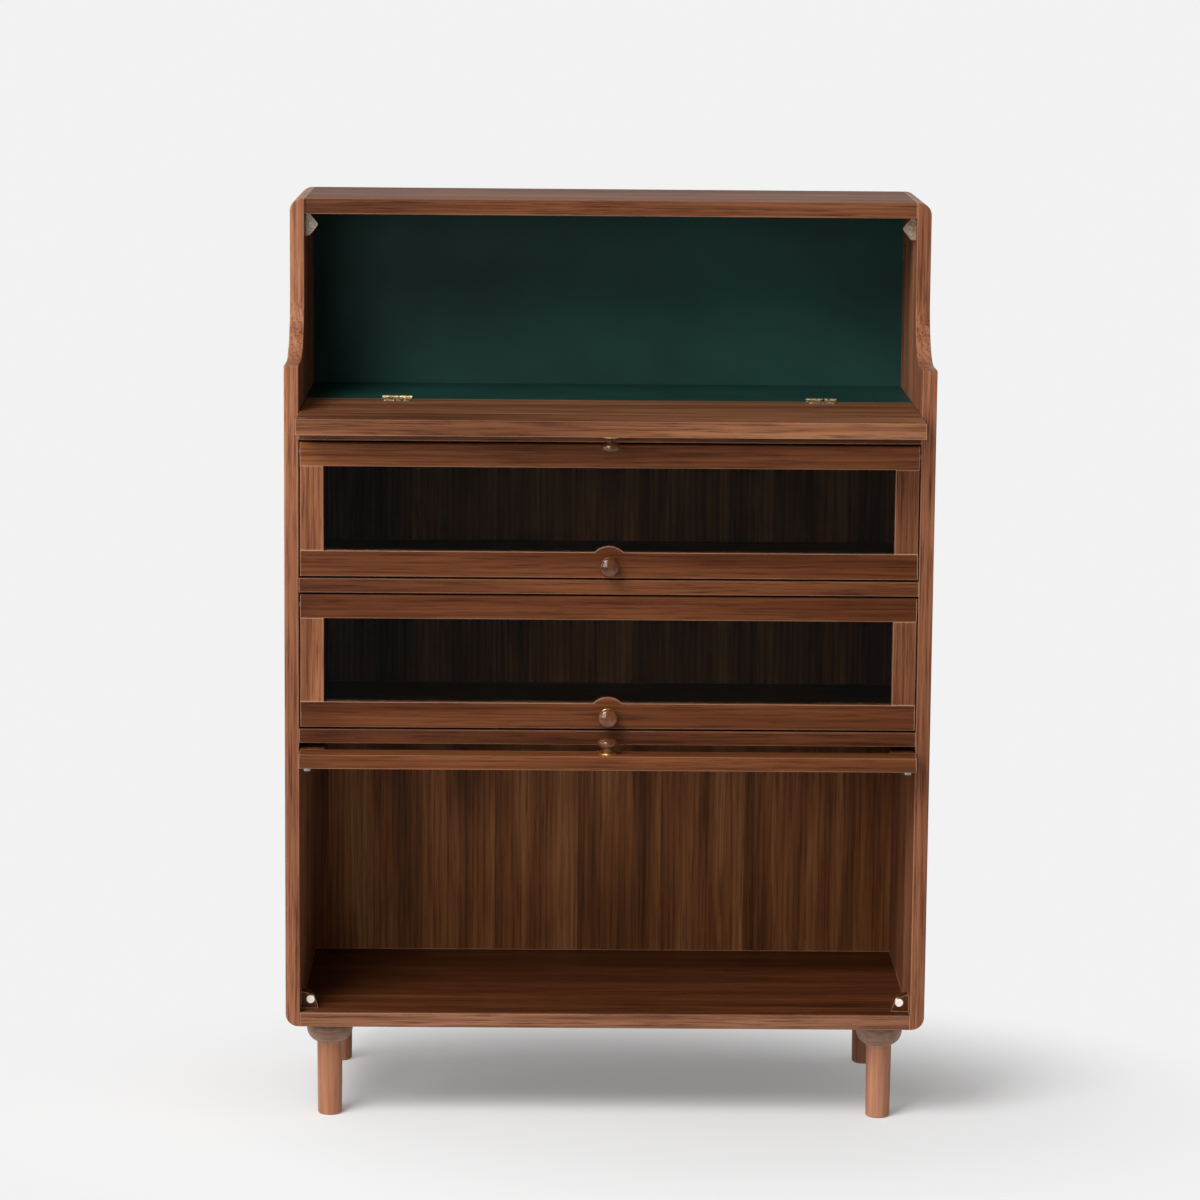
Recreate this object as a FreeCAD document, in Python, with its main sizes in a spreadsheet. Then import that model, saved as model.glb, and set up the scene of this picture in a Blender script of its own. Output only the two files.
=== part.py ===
import FreeCAD, Part
import os
import re

import Sketcher

# A glazed secretary cabinet on four turned legs.
#
# Two stepped side panels carry the boards. Over the ledge is a writing
# compartment with a drop-down flap, and under it are three bookcase
# compartments, each with a glazed door that lifts about two shoulder pins and
# then slides back under the board above it, in grooves of the side panels.
#
# Millimetres. X runs to the right, Y to the back and Z up from the floor. The
# pieces are drawn with y = 0 at the lower front plane, and every placement
# adds the same shift, which puts the origin under the middle of the whole.

DOCUMENT = FreeCAD.newDocument("glazed_secretary_cabinet")

# The driving dimensions.
SIZES = {
    # Carcass
    "width": 800.0,
    "depth": 350.0,
    "side_thick": 18.0,
    "leg_height": 123.0,
    "bottom_thick": 18.0,
    "tall_opening": 343.5,
    "shelf_thick": 18.0,
    "low_opening": 171.0,
    "ledge_thick": 15.0,
    "desk_thick": 19.0,
    "surface_thick": 1.0,
    "desk_opening": 232.5,
    "top_thick": 20.0,
    "back_thick": 9.0,
    "back_recess": 3.0,
    "rabbet_depth": 8.0,
    "back_play": 0.5,
    # Stepped outline of the side panels
    "upper_setback": 128.0,
    "cove_radius": 75.0,
    "cheek_rise": 56.5,
    "corner_radius": 16.0,
    "cheek_round": 2.5,
    "side_ease": 1.4,
    "board_ease": 1.0,
    "top_recess": 4.0,
    # Doors
    "door_thick": 18.0,
    "door_side_gap": 1.6,
    "door_gap": 2.5,
    "top_rail": 29.5,
    "bottom_rail": 32.0,
    "stile_width": 29.0,
    "lip_thick": 7.0,
    "rebate_width": 7.0,
    "glass_thick": 4.0,
    "glass_play": 0.5,
    "bead_play": 0.15,
    "door_round": 2.5,
    "door_ease": 1.0,
    "tab_radius": 24.5,
    "pivot_drop": 13.0,
    "raised_reach": 40.0,
    "raised_rear_gap": 20.0,
    # Shoulder pins and the grooves they run in
    "pin_head_radius": 4.0,
    "pin_head_length": 7.0,
    "pin_shank_radius": 2.5,
    "pin_shank_length": 16.0,
    "pin_chamfer": 0.6,
    "groove_play": 0.3,
    "groove_end_play": 0.5,
    "shank_play": 0.08,
    "shank_end_play": 0.6,
    "shoulder_gap": 0.2,
    # Knobs and their rings
    "knob_height": 20.0,
    "knob_radius": 12.2,
    "knob_rim_radius": 5.0,
    "knob_rim_height": 14.0,
    "knob_neck_radius": 6.5,
    "knob_flare_radius": 3.5,
    "ring_radius": 10.7,
    "ring_thick": 2.0,
    "ring_round": 0.7,
    "ring_play": 0.1,
    "knob_rise": 15.0,
    "flap_knob_inset": 19.0,
    # Flap and its hinges
    "flap_side_gap": 1.0,
    "flap_joint_gap": 0.8,
    "flap_top_gap": 1.3,
    "flap_rest_gap": 0.2,
    "hinge_setback": 150.0,
    "hinge_spread": 534.0,
    "hinge_length": 38.0,
    "leaf_reach": 22.0,
    "leaf_thick": 1.2,
    "leaf_gap": 0.4,
    "leaf_corner": 5.0,
    "leaf_notch": 2.8,
    "barrel_radius": 2.2,
    "barrel_lift": 0.15,
    "knuckle_gap": 0.2,
    "hinge_pin_radius": 1.1,
    "hinge_pin_play": 0.06,
    # Catches of the flap
    "flap_block_reach": 16.5,
    "flap_block_height": 28.0,
    "flap_block_flat": 5.5,
    "flap_block_depth": 12.0,
    "flap_block_round": 3.0,
    "flap_magnet_radius": 4.2,
    "flap_magnet_inset": 7.8,
    "flap_magnet_depth": 5.0,
    "flap_strike_radius": 4.5,
    "flap_strike_thick": 2.0,
    "flap_catch_gap": 0.3,
    "press_play": 0.05,
    # Catches of the doors
    "door_block_radius": 21.5,
    "door_block_depth": 18.0,
    "door_magnet_radius": 4.9,
    "door_magnet_depth": 8.0,
    "door_magnet_hole": 1.3,
    "door_magnet_inset": 12.0,
    "door_strike_radius": 4.75,
    "door_strike_proud": 4.0,
    "door_strike_chamfer": 0.5,
    "door_strike_rise": 9.1,
    "door_catch_gap": 0.2,
    # Legs
    "leg_inset": 53.0,
    "leg_setback": 45.0,
    "leg_top_radius": 16.0,
    "leg_foot_radius": 15.2,
    "leg_chamfer": 1.8,
    "bun_radius": 29.0,
    "bun_arc_radius": 19.3,
    "bun_straight": 10.7,
    "bun_ease": 0.8,
    # One overrun for every cut that goes right through
    "overrun": 5.0,
}

# Sizes and places worked out from the driving dimensions.
DERIVED = {
    # Levels, from the floor up
    "bottom_top": "leg_height + bottom_thick",
    "lower_shelf_base": "bottom_top + tall_opening",
    "middle_floor": "lower_shelf_base + shelf_thick",
    "upper_shelf_base": "middle_floor + low_opening",
    "upper_floor": "upper_shelf_base + shelf_thick",
    "ledge_base": "upper_floor + low_opening",
    "desk_base": "ledge_base + ledge_thick",
    "desk_top": "desk_base + desk_thick + surface_thick",
    "roof_base": "desk_top + desk_opening",
    "full_height": "roof_base + top_thick",
    "cheek_top": "desk_top + cheek_rise",
    # Places across and along the cabinet
    "inside": "width / 2 - side_thick",
    "back_face": "depth - back_recess - back_thick",
    "back_joint": "desk_base + desk_thick / 2",
    "flap_reach": "roof_base - flap_top_gap - hinge_level - hinge_setback",
    "front_shift": "(flap_reach - depth) / 2",
    # Doors, about their pivot
    "door_half": "inside - door_side_gap",
    "sight_half": "door_half - stile_width",
    "door_mid": "door_thick / 2",
    "lip_back": "lip_thick - door_mid",
    "glass_back": "lip_back + glass_thick",
    "low_door_height": "low_opening - 2 * door_gap",
    "tall_door_height": "tall_opening - 2 * door_gap",
    "low_travel": "low_door_height - pivot_drop - raised_reach - door_mid",
    "reach_travel": "tall_door_height - pivot_drop - raised_reach - door_mid",
    "depth_travel": "back_face - raised_rear_gap - pivot_drop - door_mid",
    "tall_travel": "min(reach_travel; depth_travel)",
    "pivot_depth": "door_gap + pivot_drop",
    "groove_half": "pin_head_radius + groove_play",
    "groove_depth": "pin_head_length + groove_end_play",
    "bore_radius": "pin_shank_radius + shank_play",
    # Knob: the crown's arc meets the rim's, and the flare meets neck and rim
    "rim_offset": "knob_radius - knob_rim_radius",
    "rim_to_top": "knob_height - knob_rim_height",
    "crown_radius": "(rim_offset ^ 2 + rim_to_top ^ 2 - knob_rim_radius ^ 2)"
                    " / (2 * (rim_to_top - knob_rim_radius))",
    "crown_centre": "knob_height - crown_radius",
    "crown_share": "crown_radius / (crown_radius - knob_rim_radius)",
    "flare_offset": "knob_neck_radius + knob_flare_radius",
    "flare_drop": "sqrt((knob_rim_radius + knob_flare_radius) ^ 2"
                  " - (flare_offset - rim_offset) ^ 2)",
    "flare_share": "knob_rim_radius / (knob_rim_radius + knob_flare_radius)",
    # Hinges
    "hinge_level": "desk_top + barrel_radius + barrel_lift",
    "leaf_start": "barrel_radius + leaf_gap",
    "knuckle_pitch": "hinge_length / 5",
    # Catches
    "flap_inner_face": "hinge_setback - barrel_radius - barrel_lift",
    "flap_block_front": "flap_inner_face + flap_catch_gap",
    "flap_block_middle": "roof_base - flap_block_height / 2",
    "flap_strike_place": "hinge_setback - (flap_block_middle - hinge_level)",
    "flap_strike_across": "inside - flap_magnet_inset",
    "block_slope": "sqrt((flap_block_reach - flap_block_flat) ^ 2"
                   " + (flap_block_height / 2) ^ 2)",
    "tip_centre": "flap_block_reach"
                  " - flap_block_round * block_slope / (flap_block_height / 2)",
    "tip_across": "tip_centre + flap_block_round * (flap_block_height / 2)"
                  " / block_slope",
    "tip_up": "flap_block_round * (flap_block_reach - flap_block_flat)"
              " / block_slope",
    "door_block_front": "door_thick + door_strike_proud + door_catch_gap",
    "door_magnet_rise": "door_gap + door_strike_rise",
    "door_strike_across": "inside - door_magnet_inset",
    # Legs
    "bun_offset": "bun_radius - bun_arc_radius",
    "bun_arc_level": "leg_height - bun_straight",
    "bun_base": "bun_arc_level - sqrt(bun_arc_radius ^ 2"
                " - (leg_top_radius - bun_offset) ^ 2)",
}

# How far apart two places may be and still count as the same.
SAME_PLACE_SHARE = 1e-6

SHEET = DOCUMENT.addObject("Spreadsheet::Sheet", "Sizes")
for row, (alias, size) in enumerate(SIZES.items(), 1):
    SHEET.set("A%d" % row, alias)
    SHEET.set("B%d" % row, str(size))
    SHEET.setAlias("B%d" % row, alias)
DOCUMENT.recompute()

PIECES = []


def formula(text):
    """The text with every size read from the sheet, derived ones spelled out."""
    def spell(match):
        word = match.group(0)
        if word in DERIVED:
            return "(%s)" % formula(DERIVED[word])
        return "Sizes." + word if word in SIZES else word
    return re.sub(r"[a-z][a-z_]*", spell, text)


def number(text):
    """The value of a formula now."""
    return float(SHEET.evalExpression(formula(text)))


def bind(thing, **sizes):
    """Bind properties to formulas. A double underscore stands for a dot."""
    for name, text in sizes.items():
        thing.setExpression(name.replace("__", "."), formula(text))


def shift(thing, across="0", along="0", up="0"):
    """Bind the place of a feature or a piece."""
    bind(thing, Placement__Base__x=across, Placement__Base__y=along, Placement__Base__z=up)


def piece(name, across="0", along="0", up="0", turn=0.0):
    """A new body for one sub-part, placed in the cabinet and turned about X."""
    body = DOCUMENT.addObject("PartDesign::Body", name)
    body.Label = name
    body.AllowCompound = True
    axis = FreeCAD.Vector(1, 0, 0)
    body.Placement = FreeCAD.Placement(FreeCAD.Vector(), FreeCAD.Rotation(axis, turn))
    shift(body, across, "front_shift + " + along, up)
    PIECES.append(body)
    return body


def block(body, x_span, y_span, z_span, cut=False):
    """A box between two places on each axis, added to the body or cut from it."""
    kind = "PartDesign::SubtractiveBox" if cut else "PartDesign::AdditiveBox"
    box = body.newObject(kind, "block")
    bind(box, Length="(%s) - (%s)" % x_span[::-1], Width="(%s) - (%s)" % y_span[::-1],
         Height="(%s) - (%s)" % z_span[::-1])
    shift(box, x_span[0], y_span[0], z_span[0])
    DOCUMENT.recompute()
    return box


def rod(body, radius, length, start, axis="x", cut=False):
    """A cylinder from a start point along +X, +Y or +Z, added or cut."""
    kind = "PartDesign::SubtractiveCylinder" if cut else "PartDesign::AdditiveCylinder"
    cylinder = body.newObject(kind, "rod")
    towards = {"x": FreeCAD.Vector(1, 0, 0), "y": FreeCAD.Vector(0, 1, 0),
               "z": FreeCAD.Vector(0, 0, 1)}[axis]
    turn = FreeCAD.Rotation(FreeCAD.Vector(0, 0, 1), towards)
    cylinder.Placement = FreeCAD.Placement(FreeCAD.Vector(), turn)
    bind(cylinder, Radius=radius, Height=length)
    shift(cylinder, *start)
    DOCUMENT.recompute()
    return cylinder


def plane(body, role):
    """One of the body's own origin planes or axes."""
    return next(item for item in body.Origin.OriginFeatures if item.Role == role)


def outline(body, role, points, lift="0"):
    """A closed sketch on an origin plane of the body, lifted along its normal.

    Each point is a pair of formulas, (across, up). Between two points the line
    is straight, or it is an arc where an entry (centre across, centre up, turn)
    stands between them, with a turn of 1 against the clock and -1 with it. The
    end of an arc lies on its circle, so only its better coordinate is bound.
    """
    sketch = body.newObject("Sketcher::SketchObject", "outline")
    sketch.AttachmentSupport = [(plane(body, role), "")]
    sketch.MapMode = "FlatFace"
    bind(sketch, AttachmentOffset__Base__z=lift)

    corners = [entry for entry in points if len(entry) == 2]
    arcs = {}
    count = 0
    for entry in points:
        if len(entry) == 2:
            count += 1
        else:
            arcs[count - 1] = entry
    places = [FreeCAD.Vector(number(u), number(v), 0) for u, v in corners]
    sides = []
    for index, start in enumerate(places):
        end = places[(index + 1) % len(places)]
        if index not in arcs:
            sides.append((sketch.addGeometry(Part.LineSegment(start, end), False), 1, 2))
            continue
        centre = FreeCAD.Vector(number(arcs[index][0]), number(arcs[index][1]), 0)
        forward = arcs[index][2] > 0
        first, last = (start, end) if forward else (end, start)
        circle = Part.Circle(centre, FreeCAD.Vector(0, 0, 1), (start - centre).Length)
        curve = Part.ArcOfCircle(circle, circle.parameter(first), circle.parameter(last))
        side = sketch.addGeometry(curve, False)
        sides.append((side, 1, 2) if forward else (side, 2, 1))
    for index, (side, _, tail) in enumerate(sides):
        following, head, _ = sides[(index + 1) % len(sides)]
        sketch.addConstraint(Sketcher.Constraint("Coincident", side, tail, following, head))

    def hold(side, end, place, text, direction):
        value = place.x if direction == "DistanceX" else place.y
        held = sketch.addConstraint(Sketcher.Constraint(direction, -1, 1, side, end, value))
        sketch.setExpression("Constraints[%d]" % held, formula(text))

    for index, (across, up) in enumerate(corners):
        side, head, _ = sides[index]
        before = (index - 1) % len(corners)
        wanted = ["DistanceX", "DistanceY"]
        if before in arcs:
            centre = FreeCAD.Vector(number(arcs[before][0]), number(arcs[before][1]), 0)
            spoke = places[index] - centre
            wanted = ["DistanceY"] if abs(spoke.x) > abs(spoke.y) else ["DistanceX"]
        for direction in wanted:
            text = across if direction == "DistanceX" else up
            hold(side, head, places[index], text, direction)
    for index, (across, up, _) in arcs.items():
        centre = FreeCAD.Vector(number(across), number(up), 0)
        hold(sides[index][0], 3, centre, across, "DistanceX")
        hold(sides[index][0], 3, centre, up, "DistanceY")
    DOCUMENT.recompute()
    return sketch


def pad(body, sketch, length, backwards=False):
    """Give a sketch thickness along its plane's normal, or against it."""
    feature = body.newObject("PartDesign::Pad", "pad")
    feature.Profile = sketch
    feature.Reversed = backwards
    bind(feature, Length=length)
    DOCUMENT.recompute()
    return feature


def pocket(body, sketch, depth, along_normal=False):
    """Cut a sketch out against its plane's normal, or along it."""
    before = body.Shape.Volume
    feature = body.newObject("PartDesign::Pocket", "pocket")
    feature.Profile = sketch
    feature.Reversed = along_normal
    bind(feature, Length=depth)
    DOCUMENT.recompute()
    if body.Shape.Volume >= before:
        raise RuntimeError("A pocket of %s cuts nothing." % body.Label)
    return feature


def turned(body, points):
    """A body of revolution about Z, from half a section (radius, height)."""
    sketch = outline(body, "XZ_Plane", points)
    feature = body.newObject("PartDesign::Revolution", "turned")
    feature.Profile = sketch
    feature.ReferenceAxis = (plane(body, "Z_Axis"), [""])
    DOCUMENT.recompute()
    return feature


def mirrored(body):
    """Repeat all that the body holds on the other side of the cabinet's middle."""
    feature = body.newObject("PartDesign::Mirrored", "other_side")
    feature.TransformMode = "Whole shape"
    feature.MirrorPlane = (plane(body, "YZ_Plane"), [""])
    body.Tip = feature
    DOCUMENT.recompute()
    return feature


def edges_at(body, **places):
    """Names of the edges that lie wholly at the given places, in body axes."""
    slack = number("width") * SAME_PLACE_SHARE
    names = []
    for index, edge in enumerate(body.Tip.Shape.Edges, 1):
        box = edge.BoundBox
        spans = {"x": (box.XMin, box.XMax), "y": (box.YMin, box.YMax), "z": (box.ZMin, box.ZMax)}
        if all(abs(end - number(text)) < slack
               for axis, text in places.items() for end in spans[axis]):
            names.append("Edge%d" % index)
    return names


def rounded(body, radius, *places, kind="PartDesign::Fillet"):
    """Round, or with another kind chamfer, the edges at each of the places."""
    base = body.Tip
    names = []
    for place in places:
        names += [name for name in edges_at(body, **place) if name not in names]
    if not names:
        raise RuntimeError("No edge of %s to round." % body.Label)
    feature = body.newObject(kind, "rounded")
    feature.Base = (base, names)
    if kind == "PartDesign::Fillet":
        bind(feature, Radius=radius)
    else:
        bind(feature, Size=radius)
    DOCUMENT.recompute()
    return feature


# The side panels

def side_panel(name, side):
    """A stepped side panel, side -1 at the left and 1 at the right.

    It is drawn on the inner face, x = 0, and its thickness runs outwards.
    """
    left = side < 0
    body = piece(name, across="%d * inside" % side)
    profile = outline(body, "YZ_Plane", [
        ("0", "leg_height"),
        ("depth", "leg_height"),
        ("depth", "full_height"),
        ("upper_setback", "full_height"),
        ("upper_setback", "cheek_top + cove_radius"),
        ("upper_setback - cove_radius", "cheek_top + cove_radius", -1),
        ("upper_setback - cove_radius", "cheek_top"),
        ("0", "cheek_top"),
    ])
    pad(body, profile, "side_thick", backwards=left)

    # A stopped rabbet takes the ends of both back panels.
    x_span = ("-rabbet_depth", "0") if left else ("0", "rabbet_depth")
    block(body, x_span, ("back_face", "depth + overrun"), ("bottom_top", "roof_base"), cut=True)

    # One groove for each door's shoulder pin, round at both ends.
    for base, travel in (("ledge_base", "low_travel"), ("upper_shelf_base", "low_travel"),
                         ("lower_shelf_base", "tall_travel")):
        level = base + " - pivot_depth"
        rear = "door_mid + " + travel
        groove = outline(body, "YZ_Plane", [
            ("door_mid", level + " - groove_half"),
            (rear, level + " - groove_half"),
            (rear, level, 1),
            (rear, level + " + groove_half"),
            ("door_mid", level + " + groove_half"),
            ("door_mid", level, 1),
        ])
        pocket(body, groove, "groove_depth", along_normal=not left)

    outer = "%d * side_thick" % side
    rounded(body, "cheek_round", {"y": "0", "z": "cheek_top"})
    rounded(body, "corner_radius", {"x": outer, "z": "full_height"}, {"x": outer, "z": "leg_height"})
    rounded(body, "side_ease", {"x": outer, "y": "upper_setback"}, {"x": outer, "y": "0"},
            {"x": "0", "y": "upper_setback"}, {"x": "0", "y": "0"})
    return body


side_panel("left_side_panel", -1)
side_panel("right_side_panel", 1)


# The boards between the side panels, and the two back panels

def board(name, y_span, z_span, x_half="inside"):
    """A board between the sides, with its two long front edges eased."""
    body = piece(name)
    block(body, ("-(%s)" % x_half, x_half), y_span, z_span)
    front = y_span[0]
    rounded(body, "board_ease", {"y": front, "z": z_span[0]}, {"y": front, "z": z_span[1]})
    return body


board("top_panel", ("upper_setback + top_recess", "depth"), ("roof_base", "full_height"))
board("desk_floor_board", ("hinge_setback + flap_joint_gap / 2", "back_face"),
      ("desk_base", "desk_base + desk_thick"))
board("ledge_board", ("0", "back_face"), ("ledge_base", "desk_base"))
board("upper_shelf", ("0", "back_face"), ("upper_shelf_base", "upper_floor"))
board("lower_shelf", ("0", "back_face"), ("lower_shelf_base", "middle_floor"))
board("bottom_panel", ("0", "depth"), ("leg_height", "bottom_top"))

surface = piece("desk_surface")
block(surface, ("-inside", "inside"), ("hinge_setback + flap_joint_gap / 2", "back_face"),
      ("desk_top - surface_thick", "desk_top"))


def back_panel(name, z_span):
    """A back panel with its ends in the rabbets of the sides."""
    body = piece(name)
    half = "inside + rabbet_depth - back_play"
    block(body, ("-(%s)" % half, half), ("back_face", "back_face + back_thick"), z_span)
    return body


back_panel("upper_back_panel", ("back_joint", "roof_base"))
back_panel("lower_back_panel", ("bottom_top", "back_joint"))


# The four turned legs: a bun under the bottom panel and a tapered shaft

def leg(name, across, along):
    """The shaft of a leg, tapered to the foot."""
    body = piece(name, across, along)
    shaft = turned(body, [("0", "0"), ("leg_foot_radius", "0"), ("leg_top_radius", "bun_base"),
                          ("0", "bun_base")])
    rounded(body, "leg_chamfer", {"z": "0"}, kind="PartDesign::Chamfer")
    return shaft


def bun(name, across, along):
    """The turned bun, straight at the top and round below."""
    body = piece(name, across, along)
    turned(body, [("0", "bun_base"), ("leg_top_radius", "bun_base"),
                  ("bun_offset", "bun_arc_level", 1), ("bun_radius", "bun_arc_level"),
                  ("bun_radius", "leg_height"), ("0", "leg_height")])
    rounded(body, "bun_ease", {"z": "leg_height"})
    return body


for end, along in (("front", "leg_setback"), ("rear", "depth - leg_setback")):
    for hand, sign in (("left", "-"), ("right", "")):
        across = sign + "(width / 2 - leg_inset)"
        leg("%s_%s_leg" % (end, hand), across, along)
        bun("%s_%s_bun" % (end, hand), across, along)


# Knobs: a turned head on a flared neck, in a brass ring on the wood

def knob(name, **place):
    """A turned knob that stands up along Z from the wood at z = 0."""
    body = piece(name, **place)
    turned(body, [
        ("0", "0"),
        ("knob_neck_radius", "0"),
        ("knob_neck_radius", "knob_rim_height - flare_drop"),
        ("flare_offset", "knob_rim_height - flare_drop", -1),
        ("rim_offset + (flare_offset - rim_offset) * flare_share",
         "knob_rim_height - flare_drop * flare_share"),
        ("rim_offset", "knob_rim_height", 1),
        ("rim_offset * crown_share",
         "crown_centre + (knob_rim_height - crown_centre) * crown_share"),
        ("0", "crown_centre", 1),
        ("0", "knob_height"),
    ])
    return body


def knob_ring(name, **place):
    """The brass ring round a knob's neck."""
    body = piece(name, **place)
    rod(body, "ring_radius", "ring_thick", ("0", "0", "0"), axis="z")
    rod(body, "knob_neck_radius + ring_play", "ring_thick + 2 * overrun",
        ("0", "0", "-overrun"), axis="z", cut=True)
    rounded(body, "ring_round", {"z": "ring_thick"})
    return body


# The three glazed doors, drawn hanging from their pivot line at y = 0, z = 0

class Door:
    """Sizes and place of one door. A raised door lies flat under its board."""

    def __init__(self, name, kind, base, raised=False):
        self.name = name
        self.raised = raised
        self.pivot_level = base + " - pivot_depth"
        self.pivot_along = "door_mid + %s_travel" % kind if raised else "door_mid"
        self.top = "pivot_drop"
        self.foot = "(pivot_drop - %s_door_height)" % kind
        self.sight_top = "(pivot_drop - top_rail)"
        self.sight_foot = "(%s + bottom_rail)" % self.foot

    def place(self, along="0", up="0", turn=0.0):
        """Where a point drawn at (y, z) about the pivot lies in the cabinet."""
        if self.raised:
            return {"along": "%s + %s" % (self.pivot_along, up),
                    "up": "%s - (%s)" % (self.pivot_level, along), "turn": turn - 90.0}
        return {"along": "%s + %s" % (self.pivot_along, along),
                "up": "%s + %s" % (self.pivot_level, up), "turn": turn}

    def piece(self, part):
        """A new body for one sub-part of this door."""
        return piece("%s_%s" % (self.name, part), **self.place())


def top_rail(door):
    """The top rail, with its rebate for the glass and a bore for each pin."""
    body = door.piece("top_rail")
    block(body, ("-door_half", "door_half"), ("-door_mid", "door_mid"),
          (door.sight_top, door.top))
    block(body, ("-(sight_half + rebate_width)", "sight_half + rebate_width"),
          ("lip_back", "door_mid + overrun"),
          (door.sight_top + " - overrun", door.sight_top + " + rebate_width"), cut=True)
    reach = "(pin_shank_length + shank_end_play)"
    rod(body, "bore_radius", reach + " + overrun", ("-door_half - overrun", "0", "0"), cut=True)
    rod(body, "bore_radius", reach + " + overrun", ("door_half - " + reach, "0", "0"), cut=True)
    rounded(body, "door_round", {"y": "-door_mid", "z": door.top}, {"y": "door_mid", "z": door.top})
    rounded(body, "door_ease", {"y": "-door_mid", "z": door.sight_top})


def bottom_rail(door):
    """The bottom rail. Round the knob a tab of its front lip stands up."""
    body = door.piece("bottom_rail")
    block(body, ("-door_half", "door_half"), ("-door_mid", "door_mid"),
          (door.foot, door.sight_foot))
    block(body, ("-(sight_half + rebate_width)", "sight_half + rebate_width"),
          ("lip_back", "door_mid + overrun"),
          (door.sight_foot + " - rebate_width", door.sight_foot + " + overrun"), cut=True)
    half = "sqrt(tab_radius ^ 2 - (bottom_rail - knob_rise) ^ 2)"
    tab = outline(body, "XZ_Plane", [
        ("-" + half, door.sight_foot), (half, door.sight_foot),
        ("0", door.foot + " + knob_rise", 1),
    ], lift="-lip_back")
    pad(body, tab, "lip_thick")
    rounded(body, "door_ease", {"y": "-door_mid", "z": door.foot},
            {"y": "door_mid", "z": door.foot})


def stile(door, hand, sign):
    """A stile between the rails, with the glass rebate on its inner edge."""
    body = door.piece(hand + "_stile")
    spans = (("-door_half", "-sight_half") if sign < 0 else ("sight_half", "door_half"))
    rebate = (("-(sight_half + rebate_width)", "-sight_half + overrun") if sign < 0
              else ("sight_half - overrun", "sight_half + rebate_width"))
    heights = (door.sight_foot, door.sight_top)
    block(body, spans, ("-door_mid", "door_mid"), heights)
    block(body, rebate, ("lip_back", "door_mid + overrun"), heights, cut=True)
    outer = "%d * door_half" % sign
    inner = "%d * sight_half" % sign
    rounded(body, "door_ease", {"x": outer, "y": "-door_mid"}, {"x": outer, "y": "door_mid"},
            {"x": inner, "y": "-door_mid"})


def glazing(door):
    """The pane in its rebate, and the four beads that hold it from behind."""
    pane = door.piece("glass")
    half = "(sight_half + rebate_width - glass_play)"
    block(pane, ("-" + half, half), ("lip_back", "glass_back"),
          (door.sight_foot + " - rebate_width + glass_play",
           door.sight_top + " + rebate_width - glass_play"))
    beads = door.piece("glazing_beads")
    long_half = "(sight_half + rebate_width - bead_play)"
    behind = ("glass_back", "door_mid")
    across = ("-" + long_half, long_half)
    block(beads, across, behind, (door.sight_top, door.sight_top + " + rebate_width - bead_play"))
    block(beads, across, behind, (door.sight_foot + " - rebate_width + bead_play", door.sight_foot))
    upright = (door.sight_foot + " + bead_play", door.sight_top + " - bead_play")
    block(beads, ("-" + long_half, "-sight_half"), behind, upright)
    block(beads, ("sight_half", long_half), behind, upright)


def door_fittings(door):
    """Knob, ring and the two steel strikes, and the shoulder pins it turns on."""
    face = door.place(along="-door_mid", up=door.foot + " + knob_rise", turn=90.0)
    knob(door.name + "_knob", **face)
    knob_ring(door.name + "_knob_ring", **face)

    strikes = door.piece("strikes")
    rod(strikes, "door_strike_radius", "door_strike_proud",
        ("door_strike_across", "door_mid", door.foot + " + door_strike_rise"), axis="y")
    rounded(strikes, "door_strike_chamfer", {"y": "door_mid + door_strike_proud"},
            kind="PartDesign::Chamfer")
    mirrored(strikes)

    pins = door.piece("pins")
    rod(pins, "pin_shank_radius", "pin_shank_length + shoulder_gap",
        ("door_half - pin_shank_length", "0", "0"))
    rod(pins, "pin_head_radius", "door_side_gap + pin_head_length - shoulder_gap",
        ("door_half + shoulder_gap", "0", "0"))
    rounded(pins, "pin_chamfer", {"x": "inside + pin_head_length"}, kind="PartDesign::Chamfer")
    mirrored(pins)


DOORS = [
    Door("upper_door", "low", "ledge_base"),
    Door("middle_door", "low", "upper_shelf_base"),
    Door("lower_door", "tall", "lower_shelf_base", raised=True),
]
for door in DOORS:
    top_rail(door)
    bottom_rail(door)
    stile(door, "left", -1)
    stile(door, "right", 1)
    glazing(door)
    door_fittings(door)


# The flap, open and resting on the ledge board

flap = piece("flap_panel")
flap_half = "(inside - flap_side_gap)"
flap_front = "-flap_reach"
flap_rear = "hinge_setback - flap_joint_gap / 2"
flap_under = "desk_base + flap_rest_gap"
block(flap, ("-" + flap_half, flap_half), (flap_front, flap_rear), (flap_under, "desk_top"))
for sign in ("-", ""):
    rod(flap, "flap_strike_radius + press_play", "flap_strike_thick + overrun",
        (sign + "flap_strike_across", "flap_strike_place", "desk_top - flap_strike_thick"),
        axis="z", cut=True)
rounded(flap, "board_ease", {"y": flap_front, "z": flap_under}, {"y": flap_front, "z": "desk_top"},
        {"x": flap_half, "z": "desk_top"}, {"x": "-" + flap_half, "z": "desk_top"})

flap_strikes = piece("flap_strikes")
rod(flap_strikes, "flap_strike_radius", "flap_strike_thick",
    ("flap_strike_across", "flap_strike_place", "desk_top - flap_strike_thick"), axis="z")
mirrored(flap_strikes)

under_flap = {"along": "flap_knob_inset - flap_reach", "up": flap_under, "turn": 180.0}
knob("flap_knob", **under_flap)
knob_ring("flap_knob_ring", **under_flap)


# The two butterfly hinges, drawn about the hinge line

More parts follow.
